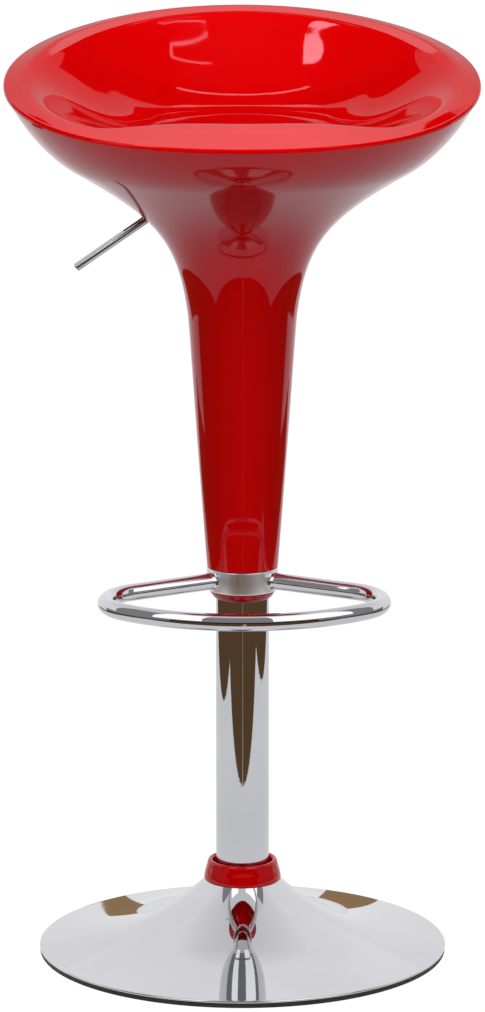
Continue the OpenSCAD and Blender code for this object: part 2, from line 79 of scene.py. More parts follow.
def bezier(points, count, first=False):
    """Points along a cubic Bezier, in the units of its control points."""
    p = np.array(points, float)
    t = np.linspace(0, 1, count + 1)[0 if first else 1 :, None]
    s = 1 - t
    return s**3 * p[0] + 3 * s * s * t * p[1] + 3 * s * t * t * p[2] + t**3 * p[3]


def smooth(t):
    u = np.clip(t, 0, 1)
    return u * u * (3 - 2 * u)


def offset(profile, d):
    """An open profile moved sideways by d mm, to the right of its direction of travel."""
    p = np.array(profile, float)
    v = np.gradient(p, axis=0)
    n = np.stack([v[:, 1], -v[:, 0]], 1)
    return p + d * n / np.linalg.norm(n, axis=1)[:, None]


# Outer profile of the trumpet, (radius, height) in mm, stem to above the rim.
TRUMPET = np.vstack(
    [
        bezier([(33.2, SHELL_BOTTOM), (46.5, 541.5), (49.0, 597.8), (51.1, 613.3)], 40, True),
        bezier([(51.1, 613.3), (60.4, 681.1), (80.2, 703.4), (157.6, 748.8)], 60),
        bezier([(157.6, 748.8), (194.0, 770.1), (223.5, 818.1), (223.5, 841.5)], 50),
        bezier([(223.5, 841.5), (223.5, 850.0), (219.5, 863.0), (215.0, 876.0)], 16),
    ]
)
SHELL_WALL = 3.5
TRUMPET_BORE = offset(TRUMPET, -SHELL_WALL)
# The bowl: its middle is BOWL_SHIFT behind the axis, its floor is flat out to FLAT_R, less
# FLAT_BACK at the back, and a sloping band BAND wide runs inside the crest of the lip there.
RIM_SIDE = 823.2
BOWL_R = 186.0
CORNER_GAIN = 23.0
BOWL_SHIFT = 25.0
BOWL_FLOOR = 785.0
FLAT_R = 100.0
FLAT_BACK = 18.0
BAND = 13.0
BAND_SLOPE = 0.346
PAN_WALL = 4.0
RIM_ROUND = 2.2
SEAM = 3.15


def trumpet_r(z):
    return np.interp(z, TRUMPET[:, 1], TRUMPET[:, 0])


def bore_r(z):
    return np.interp(z, TRUMPET_BORE[:, 1], TRUMPET_BORE[:, 0])


def rim_z(c):
    """Height of the rim for c, the cosine of the bearing from straight back."""
    return RIM_SIDE + 45.5 * c + 10.9 * c * c - 6.3 * c**3


def lip_rise(c):
    """Height of the lip's crest above the rim."""
    return 6.3 + 11.2 * smooth((-c - 0.68) / 0.32) - 7.1 * smooth((c - 0.2) / 0.8)


def crest_r(c):
    """How far the lip's crest is from the bowl's centre: wider towards the front corners."""
    return BOWL_R + CORNER_GAIN * smooth((c + 1) / 0.35) * smooth((0.9 - c) / 1.6)


def lip_fall(t):
    """Share of that rise lost at t of the way from the crest to the rim: rounded, then straight."""
    return np.where(t < 0.35, t * t / 0.7, t - 0.175) / 0.825


# ---- mesh helpers ---------------------------------------------------------------------


def new_object(name, verts, faces, sharp=40.0):
    """A mesh from points in mm, smooth shaded except where faces meet at more than sharp degrees."""
    mesh = bpy.data.meshes.new(name)
    mesh.from_pydata([tuple(MM * float(c) for c in v) for v in verts], [], faces)
    mesh.validate()
    bm = bmesh.new()
    bm.from_mesh(mesh)
    bmesh.ops.recalc_face_normals(bm, faces=bm.faces)
    for face in bm.faces:
        face.smooth = True
    for edge in bm.edges:
        if len(edge.link_faces) == 2 and edge.calc_face_angle(0.0) > math.radians(sharp):
            edge.smooth = False
    bm.to_mesh(mesh)
    bm.free()
    obj = bpy.data.objects.new(name, mesh)
    bpy.context.scene.collection.objects.link(obj)
    return obj


def grid_faces(rows, columns):
    """Quads of a grid stored row by row, each row closed on itself."""
    faces = []
    for j in range(rows - 1):
        for i in range(columns):
            k = (i + 1) % columns
            faces.append((j * columns + i, j * columns + k, (j + 1) * columns + k, (j + 1) * columns + i))
    return faces


def closing_faces(rows, steps):
    """Quads that join the last row of a grid to its first."""
    last = (rows - 1) * steps
    return [(last + i, last + (i + 1) % steps, (i + 1) % steps, i) for i in range(steps)]


def lathe(name, outline, steps, sharp=40.0):
    """A closed outline of (radius, height) in mm turned round the Z axis."""
    angles = np.linspace(0, 2 * math.pi, steps, endpoint=False)
    verts = [(r * math.cos(a), r * math.sin(a), z) for r, z in outline for a in angles]
    rows = len(outline)
    return new_object(name, verts, grid_faces(rows, steps) + closing_faces(rows, steps), sharp)


def fillet(before, corner, after, radius, count=5):
    """Points of a round corner of about that radius between two straight lines."""
    a, b, c = (np.array(p, float) for p in (before, corner, after))
    u = (a - b) / np.linalg.norm(a - b)
    v = (c - b) / np.linalg.norm(c - b)
    p, q = b + u * radius, b + v * radius
    return [tuple((1 - t) ** 2 * p + 2 * t * (1 - t) * b + t * t * q) for t in np.linspace(0, 1, count)]


def rounded(points, radii):
    """A closed outline whose corners are rounded by the radii given for each point."""
    out = []
    n = len(points)
    for i, (p, r) in enumerate(zip(points, radii)):
        if r <= 0:
            out.append(tuple(p))
        else:
            out += fillet(points[i - 1], p, points[(i + 1) % n], r)
    return out


# ---- materials ------------------------------------------------------------------------


class Nodes:
    """A material with a Principled shader and short ways to add nodes to it."""

    def __init__(self, name):
        self.material = bpy.data.materials.new(name)
        self.material.use_nodes = True
        self.tree = self.material.node_tree
        self.shader = self.tree.nodes["Principled BSDF"]
        self.coords = self.add("ShaderNodeTexCoord").outputs["Object"]

    def add(self, kind, **inputs):
        node = self.tree.nodes.new(kind)
        for key, value in inputs.items():
            node.inputs[key.replace("_", " ")].default_value = value
        return node

    def link(self, out, into):
        self.tree.links.new(out, into)

    def set(self, **values):
        for key, value in values.items():
            self.shader.inputs[key.replace("_", " ")].default_value = value

    def noise(self, scale, detail=2.0, roughness=0.5, stretch=(1, 1, 1)):
        """Noise over the object's own coordinates, in metres."""
        place = self.add("ShaderNodeMapping")
        place.inputs["Scale"].default_value = stretch
        self.link(self.coords, place.inputs["Vector"])
        node = self.add("ShaderNodeTexNoise", Scale=scale, Detail=detail, Roughness=roughness)
        self.link(place.outputs["Vector"], node.inputs["Vector"])
        return node.outputs["Fac"]

    def ramp(self, source, low, high, start=0.3, end=0.7):
        """source mapped from start..end onto the numbers low..high."""
        node = self.add("ShaderNodeMapRange")
        node.inputs["From Min"].default_value = start
        node.inputs["From Max"].default_value = end
        node.inputs["To Min"].default_value = low
        node.inputs["To Max"].default_value = high
        self.link(source, node.inputs["Value"])
        return node.outputs["Result"]

    def mix(self, factor, a, b):
        """A colour between a and b; each is a colour or a socket."""
        node = self.add("ShaderNodeMix")
        node.data_type = "RGBA"
        for socket, value in ((node.inputs[6], a), (node.inputs[7], b)):
            if isinstance(value, bpy.types.NodeSocket):
                self.link(value, socket)
            else:
                socket.default_value = (*value, 1)
        self.link(factor, node.inputs[0])
        return node.outputs[2]

    def worn_edges(self, amount=0.5):
        """A mask that is brighter on convex edges."""
        geometry = self.add("ShaderNodeNewGeometry")
        return self.ramp(geometry.outputs["Pointiness"], 0.0, amount, 0.52, 0.62)

    def bump(self, height, distance, strength=1.0, after=None):
        node = self.add("ShaderNodeBump", Strength=strength, Distance=distance)
        self.link(height, node.inputs["Height"])
        if after is not None:
            self.link(after, node.inputs["Normal"])
        self.link(node.outputs["Normal"], self.shader.inputs["Normal"])
        return node.outputs["Normal"]


def red_plastic():
    """High-gloss moulded ABS: deep red, faint orange peel, hairline marks and a little dust."""
    m = Nodes("red_plastic")
    m.set(Metallic=0.0, IOR=1.5, Specular_IOR_Level=0.34, Specular_Tint=(1.0, 0.80, 0.95, 1.0))
    shade = m.ramp(m.noise(6.0, 3.0), 0.0, 1.0)
    m.link(m.mix(shade, (0.70, 0.0, 0.0006), (0.76, 0.0002, 0.0012)), m.shader.inputs["Base Color"])
    fine = m.ramp(m.noise(900.0, 2.0, 0.6), 0.0, 0.02, 0.45, 0.75)
    wide = m.ramp(m.noise(14.0, 4.0, 0.6), 0.02, 0.05)
    add = m.add("ShaderNodeMath")
    m.link(fine, add.inputs[0])
    m.link(wide, add.inputs[1])
    m.link(add.outputs[0], m.shader.inputs["Roughness"])
    peel = m.bump(m.noise(60.0, 2.0, 0.4), 0.00012, 0.35)
    m.bump(m.noise(9.0, 1.0, 0.3), 0.0008, 0.25, after=peel)
    return m.material


def chrome_plate(name="chrome_plate", brush=(1, 1, 1), rough=(0.015, 0.05), tint=(0.64, 0.64, 0.655)):
    """Polished chrome over steel: faint haze, polishing streaks along brush and soft waviness."""
    m = Nodes(name)
    m.set(Metallic=1.0)
    darker = tuple(0.93 * c for c in tint)
    m.link(m.mix(m.ramp(m.noise(11.0, 4.0), 0.0, 1.0), darker, tint), m.shader.inputs["Base Color"])
    haze = m.noise(35.0, 5.0, 0.65, brush)
    m.link(m.ramp(haze, rough[0], rough[1], 0.35, 0.75), m.shader.inputs["Roughness"])
    streak = m.bump(m.noise(420.0, 2.0, 0.5, brush), 0.00002, 0.2)
    m.bump(m.noise(16.0, 1.0, 0.3), 0.0004, 0.12, after=streak)
    return m.material


def plated_steel(name, tint, rough=(0.22, 0.42)):
    """Zinc-plated or ground steel with fine machining grain."""
    m = Nodes(name)
    m.set(Metallic=1.0)
    dull = tuple(0.72 * c for c in tint)
    m.link(m.mix(m.ramp(m.noise(40.0, 5.0), 0.0, 1.0), dull, tint), m.shader.inputs["Base Color"])
    m.link(m.ramp(m.noise(160.0, 4.0, 0.6), rough[0], rough[1]), m.shader.inputs["Roughness"])
    m.bump(m.noise(1500.0, 2.0, 0.6, (1, 1, 0.1)), 0.00004, 0.3)
    return m.material


def painted_steel():
    """Black satin paint with a fine texture, worn to metal on its edges."""
    m = Nodes("black_steel")
    base = m.mix(m.ramp(m.noise(30.0, 4.0), 0.0, 1.0), (0.018, 0.018, 0.02), (0.035, 0.035, 0.038))
    worn = m.worn_edges(0.6)
    m.link(m.mix(worn, base, (0.32, 0.31, 0.30)), m.shader.inputs["Base Color"])
    m.link(worn, m.shader.inputs["Metallic"])
    m.link(m.ramp(m.noise(220.0, 4.0), 0.35, 0.55), m.shader.inputs["Roughness"])
    m.bump(m.noise(900.0, 3.0, 0.6), 0.00006, 0.5)
    return m.material


def rubber():
    """Moulded black rubber with a fine grain."""
    m = Nodes("black_rubber")
    m.link(m.mix(m.ramp(m.noise(60.0, 5.0), 0.0, 1.0), (0.008, 0.008, 0.009), (0.028, 0.027, 0.027)),
           m.shader.inputs["Base Color"])
    m.link(m.ramp(m.noise(180.0, 4.0), 0.5, 0.75), m.shader.inputs["Roughness"])
    m.bump(m.noise(1100.0, 3.0, 0.7), 0.00008, 0.6)
    return m.material


def acetal():
    """Natural acetal, turned, slightly yellow."""
    m = Nodes("acetal")
    m.set(IOR=1.48)
    m.link(m.mix(m.ramp(m.noise(25.0, 3.0), 0.0, 1.0), (0.72, 0.70, 0.63), (0.80, 0.79, 0.73)),
           m.shader.inputs["Base Color"])
    m.link(m.ramp(m.noise(140.0, 4.0), 0.32, 0.5), m.shader.inputs["Roughness"])
    m.bump(m.noise(700.0, 2.0, 0.5, (1, 1, 0.2)), 0.00005, 0.4)
    return m.material


FINISH = {
    "red_plastic": red_plastic(),
    "chrome_plate": chrome_plate(),
    "bright_steel": plated_steel("bright_steel", (0.60, 0.60, 0.61)),
    "rod_chrome": chrome_plate("rod_chrome", (1, 1, 0.1), (0.06, 0.16), (0.60, 0.60, 0.61)),
    "black_steel": painted_steel(),
    "black_rubber": rubber(),
    "acetal": acetal(),
    "brass": plated_steel("brass", (0.75, 0.52, 0.22), (0.25, 0.4)),
}
COLLAR_FINISH = chrome_plate("collar_chrome", (1, 1, 0.08), (0.26, 0.38), (0.86, 0.85, 0.84))


REPLACED = set()


def finish(obj, slot, body, *nodes, material=None):
    """Gives a new piece its material, hangs it on its body and hides the nodes it stands for."""
    obj.data.materials.clear()
    obj.data.materials.append(material or FINISH[slot])
    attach(obj, body)
    if nodes:
        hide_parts(*nodes)
        REPLACED.update(nodes)


# ---- seat -----------------------------------------------------------------------------


def pan_section(l, c):
    """Upper face of the pan on one line from the bowl's centre to the rim: distance, height."""
    crest = crest_r(c)
    w, zr, rise = l - crest, rim_z(c), lip_rise(c)
    zc = zr + rise
    turn = smooth(c / 0.55)
    edge = crest - BAND * turn
    ze = zc - BAND_SLOPE * BAND * turn
    floor = [(0, BOWL_FLOOR), (25, BOWL_FLOOR + 0.05), (66, BOWL_FLOOR + 0.45)]
    flat_r = FLAT_R - FLAT_BACK * turn
    wall = bezier([(flat_r, BOWL_FLOOR + 1), (flat_r + 45, BOWL_FLOOR + 1),
                   (edge - 14 + 8 * turn, ze - 4 * turn), (edge, ze)], 40, True)
    start = (edge + 2 * turn, ze + BAND_SLOPE * 2 * turn)
    blend = bezier([tuple(wall[-4]), (edge, ze), (edge, ze), start], 3)
    wall[-3:] = (1 - turn) * wall[-3:] + turn * blend
    d = np.linspace(start[0], l - RIM_ROUND, 25)[1:]
    lip_z = np.where(d < crest, zc - BAND_SLOPE * (crest - d), zc - rise * lip_fall((d - crest) / w))
    lip = np.stack([d, lip_z], 1)
    end = lip[-1]
    drop = end[1] - (zr - RIM_ROUND)
    quarter = np.linspace(0, math.pi / 2, 7)[1:]
    rim = [end + np.array([RIM_ROUND * math.sin(a), -drop * (1 - math.cos(a))]) for a in quarter]
    return np.vstack([floor, wall, lip, rim])


def pan_under(l, top):
    """Lower face of the pan, from near the rim to the centre, 4 mm under the upper one."""
    d = (l - 8.5) * np.array([1, 0.965, 0.93, 0.89, 0.84, 0.78, 0.71, 0.63, 0.55, 0.40, 0.20])
    z = np.interp(d, top[:, 0], top[:, 1])
    slope = (np.interp(d + 2, top[:, 0], top[:, 1]) - np.interp(d - 2, top[:, 0], top[:, 1])) / 4
    return np.stack([d, z - np.minimum(PAN_WALL * np.sqrt(1 + slope**2), 2 * PAN_WALL)], 1)


def make_pan(steps=240):
    """The pan: on every bearing its upper face, its rim's step inside the shell and its underside."""
    rings = []
    centre = np.array([0.0, BOWL_SHIFT])
    for f in np.linspace(0, 2 * math.pi, steps, endpoint=False):
        c = math.cos(f)
        out = np.array([math.sin(f), c])
        zr = rim_z(c)
        rim = trumpet_r(zr) * out
        l = np.linalg.norm(rim - centre)
        u = (rim - centre) / l
        top = pan_section(l, c)
        r1 = bore_r(zr - 3) - 0.4
        r2 = bore_r(zr - 12) - 0.6
        low_edge = centre + u * top[-1, 0]
        ring = [(*(centre + u * d), z) for d, z in top[1:]]
        ring += [(*low_edge, zr - 2.85), (*(out * r1), zr - 2.85)]
        ring += [(*(out * r2), zr - 12), (*(out * (r2 - 2.2)), zr - 12)]
        ring += [(*(centre + u * d), z) for d, z in pan_under(l, top)]
        rings.append(ring)
    rows = len(rings[0])
    verts = [rings[i][j] for j in range(rows) for i in range(steps)]
    faces = grid_faces(rows, steps)
    verts += [(0, BOWL_SHIFT, BOWL_FLOOR), (0, BOWL_SHIFT, BOWL_FLOOR - PAN_WALL)]
    top_hub, low_hub = len(verts) - 2, len(verts) - 1
    faces += [(top_hub, (i + 1) % steps, i) for i in range(steps)]
    last = (rows - 1) * steps
    faces += [(low_hub, last + i, last + (i + 1) % steps) for i in range(steps)]
    return new_object("seat_pan_skin", verts, faces, 45)


def make_shell(steps=240, rows=150):
    """The trumpet: every upright line runs from the stem's end to the rim at that bearing."""
    angles = np.linspace(0, 2 * math.pi, steps, endpoint=False)
    t = np.linspace(0, 1, rows)
    outer, inner = [], []
    for f in angles:
        c = math.cos(f)
        top = rim_z(c) - SEAM
        z = SHELL_BOTTOM + (top - SHELL_BOTTOM) * t
        r = trumpet_r(z)
        outer.append([(ri * math.sin(f), ri * c, zi) for ri, zi in zip(r, z)])
        inner.append([(ri * math.sin(f), ri * c, zi) for ri, zi in zip(bore_r(z), z)])
    verts = [outer[i][j] for j in range(rows) for i in range(steps)]
    verts += [inner[i][j] for j in range(rows - 1, -1, -1) for i in range(steps)]
    total = rows * 2
    shell = new_object("trumpet_skin", verts, grid_faces(total, steps) + closing_faces(total, steps), 45)
    cut_lever_slot(shell)
    return shell


LEVER_PIVOT = (-26.0, 744.3)
LEVER_DROOP = math.radians(34.8)
LEVER_REACH = 156.0
LEVER_R = 4.0
# Half the slot's width, how far round the pivot it goes above and below the rod, in radians,
# and how much its ends are rounded.
SLOT_HALF = 5.5
SLOT_ABOVE = 0.215
SLOT_BELOW = 0.085
SLOT_ROUNDING = 0.6
SLOT_SIDES = 32


def cut_lever_slot(shell):
    """A round-ended slot, as long as the lever's swing, cut through the left of the flare."""
    mesh = bpy.data.meshes.new("slot_cutter")
    bm = bmesh.new()
    x0, z0 = LEVER_PIVOT
    rings = []
    for reach in (45.0, 112.0):
        ring = []
        for a in np.linspace(0, 2 * math.pi, SLOT_SIDES, endpoint=False):
            end = SLOT_ROUNDING * (1 - abs(math.sin(a))) * SLOT_HALF / reach
            angle = LEVER_DROOP + (SLOT_BELOW + end if math.cos(a) > 0 else -SLOT_ABOVE - end)
            place = (x0 - reach * math.cos(angle), SLOT_HALF * math.sin(a), z0 - reach * math.sin(angle))
            ring.append(bm.verts.new(MM * Vector(place)))
        rings.append(ring)
    near, far = rings
    for i in range(SLOT_SIDES):
        k = (i + 1) % SLOT_SIDES
        bm.faces.new((near[i], near[k], far[k], far[i]))
    bm.faces.new(near[::-1])
    bm.faces.new(far)
    bmesh.ops.recalc_face_normals(bm, faces=bm.faces)
    bm.to_mesh(mesh)
    bm.free()
    cutter = bpy.data.objects.new("slot_cutter", mesh)
    bpy.context.scene.collection.objects.link(cutter)
    cut = shell.modifiers.new("slot", "BOOLEAN")
    cut.operation = "DIFFERENCE"
    cut.solver = "EXACT"
    cut.object = cutter
    bpy.context.view_layer.update()
    done = bpy.data.meshes.new_from_object(shell.evaluated_get(bpy.context.evaluated_depsgraph_get()))
    shell.modifiers.clear()
    shell.data = done
    bpy.data.objects.remove(cutter)


def make_stem_bush():
    """The tapered end ring of the stem: a cone under the collar and a sleeve inside it."""
    z0 = BUSH_LOW.z / MM
    zc = COLLAR_LOW.z / MM
    low = [(25.1, z0 + 0.3), (25.4, z0), (26.2, z0)]
    cone = bezier([(26.2, z0), (27.4, z0 + 0.3), (29.0, z0 + 2.8), (31.0, z0 + 6.2)], 8)
    top = [(31.3, z0 + 6.9), (31.3, zc - 0.4), (31.1, zc - 0.2), (29.4, zc - 0.2), (29.4, BUSH_HIGH.z / MM),
           (25.1, BUSH_HIGH.z / MM)]
    return lathe("stem_bush_skin", low + [tuple(p) for p in cone] + top, 160)


def make_collar():
    """A plain ring with softened outer edges."""
    z0, z1 = COLLAR_LOW.z / MM, COLLAR_HIGH.z / MM
    corners = [(COLLAR_BORE, z0), (COLLAR_R, z0), (COLLAR_R, z1), (COLLAR_BORE, z1)]
    outline = rounded(corners, [0, 0.9, 0.9, 0])
    return lathe("collar_skin", outline, 160)


# ---- footrest -------------------------------------------------------------------------

ARM_ANGLE = math.radians(31)
FRONT_R = 165.0
FRONT_Y = -19.0
CORNER_R = 50.0
COLLAR_R = 33.5
COLLAR_BORE = 29.5


def loop_path():
    """Centre line of the loop in its own plane, from one arm's end round to the other."""
    arm = np.array([math.cos(ARM_ANGLE), -math.sin(ARM_ANGLE)])
    side = np.array([-math.sin(ARM_ANGLE), -math.cos(ARM_ANGLE)])
    base = CORNER_R * side - np.array([0, FRONT_Y])
    half = arm @ base
    length = -half + math.sqrt(half * half - base @ base + (FRONT_R - CORNER_R) ** 2)
    corner = length * arm + CORNER_R * side
    turn = math.atan2(corner[0], -(corner[1] - FRONT_Y))
    points = [arm * d for d in np.linspace(COLLAR_R - 1.5, length, 14)]
    start, end = math.pi / 2 - ARM_ANGLE, turn - math.pi / 2
    for a in np.linspace(start, end, 30)[1:]:
        points.append(corner + CORNER_R * np.array([math.cos(a), math.sin(a)]))
    for a in np.linspace(turn, 0, 40)[1:]:
        points.append(np.array([FRONT_R * math.sin(a), FRONT_Y - FRONT_R * math.cos(a)]))
    mirrored = [np.array([-p[0], p[1]]) for p in points[:-1]][::-1]
    return points + mirrored


def make_loop(sides=48):
    """A round tube along the loop's path, its ends closed inside the collar's outline."""
    path = loop_path()
    n = len(path)
    verts = []
    for i, p in enumerate(path):
        t = path[min(i + 1, n - 1)] - path[max(i - 1, 0)]
        t = t / np.linalg.norm(t)
        side = np.array([t[1], -t[0]])
        for a in np.linspace(0, 2 * math.pi, sides, endpoint=False):
            q = p + side * LOOP_TUBE_R * math.cos(a)
            verts.append((q[0], q[1], LOOP_Z + LOOP_TUBE_R * math.sin(a)))
    faces = grid_faces(n, sides)
    faces += [tuple(range(sides))[::-1], tuple(range((n - 1) * sides, n * sides))]
    return new_object("footrest_skin", verts, faces, 50)


def make_weld(sign):
    """The rippled fillet where an arm meets the collar, on the side that sign gives."""
    arm = np.array([sign * math.cos(ARM_ANGLE), -math.sin(ARM_ANGLE)])
    side = np.array([arm[1], -arm[0]])
    rings = []
    profile = bezier([(10.9, -1.2), (9.0, 0.2), (8.3, 1.4), (8.02, 4.6)], 9, True)
    for r, d in profile:
        ring = []
        for a in np.linspace(0, 2 * math.pi, 96, endpoint=False):
            swell = 1 + 0.018 * math.sin(13 * a) * (4.6 - d) / 5.8
            radius = r * swell
            sideways = radius * math.cos(a)
            out = math.sqrt(max(COLLAR_R**2 - sideways**2, 0)) + d
            p = arm * out + side * sideways
            ring.append((p[0], p[1], LOOP_Z + radius * math.sin(a)))
        rings.append(ring)
    verts = [v for ring in rings for v in ring]
    return new_object("weld_right" if sign > 0 else "weld_left", verts, grid_faces(len(rings), 96), 60)


# ---- base -----------------------------------------------------------------------------


RING_R = 36.4
COLUMN_WALL = 2.0
COVER_WALL = 1.5


def make_cover():
    """The spun dome: a short neck, two concave sweeps and a rolled rim."""
    top = COVER_HIGH.z / MM
    dome = np.vstack(
        [
            [(30.0, top), (30.0, 77.0)],
            bezier([(30, 76), (30, 73.5), (32.6, 72.3), (34.4, 70.3)], 8, True),
            bezier([(34.4, 70.3), (49.7, 53.9), (71, 38.7), (95, 27)], 60),
            bezier([(95, 27), (114.6, 17.4), (141.9, 12.1), (BASE_R - 2.5, 7)], 60),
        ]
    )
    under = offset(dome, COVER_WALL)
    under = under[under[:, 0] < BASE_R - 4]
    rim = [(BASE_R - 1.6, 6.9), (BASE_R - 0.9, 6.65), (BASE_R - 0.35, 6.2), (BASE_R - 0.05, 5.6)]
    rim += [(BASE_R - 0.15, 4.9), (BASE_R - 0.6, 4.6), (BASE_R - 2.2, 4.6)]
    outline = [tuple(p) for p in dome] + rim + [tuple(p) for p in under[::-1]]
    return lathe("base_dome", outline, 288, 50)


def make_base_ring():
    """The red trim ring: a small bead at its foot, a drawn-in side and a rounded top."""
    r, h, low = RING_R, RING_HIGH.z / MM, RING_LOW.z / MM
    curves = [
        ([(r - 0.6, low), (r, low), (r, low + 0.6), (r - 0.1, low + 1.8)], 6),
        ([(r - 0.1, low + 1.8), (r - 0.6, 77), (r - 2.4, 80.5), (r - 3.4, h - 2.8)], 12),
        ([(r - 3.4, h - 2.8), (r - 4, h - 0.7), (r - 4.8, h), (r - 5.8, h)], 8),
        ([(r - 5.8, h), (r - 7.3, h), (28.2, h - 0.8), (28, h - 2.6)], 8),
    ]
    outline = [(30.4, 78.5), (r - 0.8, low + 0.2), (r - 0.6, low)]
    for points, count in curves:
        outline += [tuple(p) for p in bezier(points, count)]
    outline += [(28, 81), (30.4, 81)]
    return lathe("base_ring_skin", outline, 160)


def make_column():
    """The tube, with a small chamfer on each end."""
    z0, z1 = COLUMN_LOW.z / MM, COLUMN_HIGH.z / MM
    bore = COLUMN_R - COLUMN_WALL
    side = [(COLUMN_R, z) for z in np.linspace(z0 + 0.6, z1 - 0.8, 24)]
    outline = [(bore, z0), (COLUMN_R - 0.5, z0)] + side + [(COLUMN_R - 0.6, z1), (bore, z1)]
    return lathe("column_skin", outline, 160)


def make_floor_ring():
    """The rubber edge: a foot under the cover's rim and a step that holds the bottom plate."""
    r, h = RUBBER_HIGH.x / MM, RUBBER_HIGH.z / MM
    corners = [(164, 0), (r, 0), (r, h), (179, h), (179, 3.7), (164, 3.7)]
    return lathe("floor_ring_skin", rounded(corners, [0.6, 0.9, 0.5, 0, 0, 0.6]), 240)


def make_lever():
    """The rod, in its own line from the pivot, with a turned chamfer on its free end."""
    reach, r = LEVER_REACH, LEVER_R
    tip = [(r, reach - 1.2), (r - 0.25, reach - 0.6), (r - 0.9, reach - 0.1), (r - 1.2, reach)]
    outline = [(0.01, 10), (r, 10), (r, 80)] + tip + [(0.01, reach)]
    rod = lathe("lever_skin", outline, 64)
    turn = Matrix.Rotation(-(math.pi / 2 + LEVER_DROOP), 4, "Y")
    rod.data.transform(Matrix.Translation((MM * LEVER_PIVOT[0], 0, MM * LEVER_PIVOT[1])) @ turn)
    return rod


finish(make_pan(), "red_plastic", "seat", "seat_pan")
finish(make_shell(), "red_plastic", "seat", "trumpet_shell")
finish(make_stem_bush(), "red_plastic", "seat", "stem_bush")
finish(make_collar(), "chrome_plate", "seat", "footrest_collar", material=COLLAR_FINISH)
finish(make_loop(), "chrome_plate", "seat", "footrest_loop")
finish(make_weld(1), "chrome_plate", "seat")
finish(make_weld(-1), "chrome_plate", "seat")
finish(make_lever(), "rod_chrome", "lever", "lever_rod")
finish(make_cover(), "chrome_plate", "base", "base_cover")
finish(make_base_ring(), "red_plastic", "base", "base_ring")
finish(make_column(), "chrome_plate", "base", "column_tube")
finish(make_floor_ring(), "black_rubber", "base", "floor_ring")

SLOT_OF = {part["node"]: part["material_slot"] for part in frame["record"]["subparts"]}
for name, node in NODES.items():
    if name not in REPLACED:
        node.data.materials.clear()
        node.data.materials.append(FINISH[SLOT_OF[name]])


# ---- studio ---------------------------------------------------------------------------
# The camera sees only the white room. Every card is there for the reflections, and the lamps
# for the light. All lengths are in metres.

ROOM_HALF = 12
ROOM_HEIGHT = 16
ROOM_Z = -0.0006
CARD_Z = -0.0004
# The white sheet on the brown floor, and the walls round it.
SHEET_X = (-0.99, 1.08)
SHEET_Y = (-0.64, 1.6)
BROWN_HALF = 4
BROWN_FRONT = -5
STRIP_HALF = 0.015
WALL_HALF = 1.65
WALL_FRONT = 0.6
WALL_TOP = 1.05
HIGH_WALL_TOP = 2.2
FAR_WALL_TOP = 1.15
POST_X = (0.155, 0.24)
POST_TOP = 0.20
CANOPY_Z = 0.70
SOFTBOX_Z = 0.698

# Colour and strength of each card that glows.
GLOW = {
    "white_room": ((1.0, 1.0, 1.0), 1.05),
    "sheet": ((0.97, 0.975, 1.0), 0.86),
    "brown_floor": ((0.115, 0.066, 0.033), 1.0),
    "pale_strip": ((0.50, 0.43, 0.34), 1.0),
    "wall": ((0.98, 0.98, 1.0), 0.98),
    "far_wall": ((0.95, 0.97, 1.0), 0.3),
    "tan_post": ((0.32, 0.20, 0.105), 1.0),
    "wall_high": ((1.0, 0.97, 0.97), 0.5),
    "lip_card": ((1.0, 0.97, 0.97), 1.0),
    "bar_over": ((1.0, 0.98, 0.97), 3.5),
    "band_glow": ((1.0, 0.97, 0.97), 1.3),
    "window": ((1.0, 1.0, 1.0), 9.0),
    "window_frame": ((1.0, 1.0, 1.0), 5.0),
    "lever_glow": ((1.0, 1.0, 1.0), 1.2),
}
CLOTH = (0.97, 0.97, 1.0)

# Sectors of cloth round the axis: radii, bearings in degrees from +Y towards +X, height,
# strength, and for a graded one its two radii and the strengths there.
CANOPIES = {
    "canopy_back": ((0.12, 2.4), (-95, 95), CANOPY_Z, 1.0, (0.12, 0.6, 0.8, 1.03)),
    "canopy_near": ((0.15, 0.29), (95, 265), CANOPY_Z, 0.8, None),
    "canopy_front": ((0.29, 2.4), (95, 265), CANOPY_Z, 0.3, None),
    "softbox_left": ((0.22, 1.25), (204, 234), SOFTBOX_Z, 1.7, None),
    "softbox_right": ((0.22, 1.25), (114, 164), SOFTBOX_Z, 1.7, None),
}
CANOPY_STEPS = 48


def emitter(name, colour=None, strength=None):
    """A glowing material. Without a colour, it is the one listed in GLOW."""
    if colour is None:
        colour, strength = GLOW[name]
    material = bpy.data.materials.new(name)
    material.use_nodes = True
    tree = material.node_tree
    tree.nodes.clear()
    out = tree.nodes.new("ShaderNodeOutputMaterial")
    glow = tree.nodes.new("ShaderNodeEmission")
    glow.inputs["Color"].default_value = (*colour, 1)
    glow.inputs["Strength"].default_value = strength
    tree.links.new(glow.outputs[0], out.inputs["Surface"])
    return material


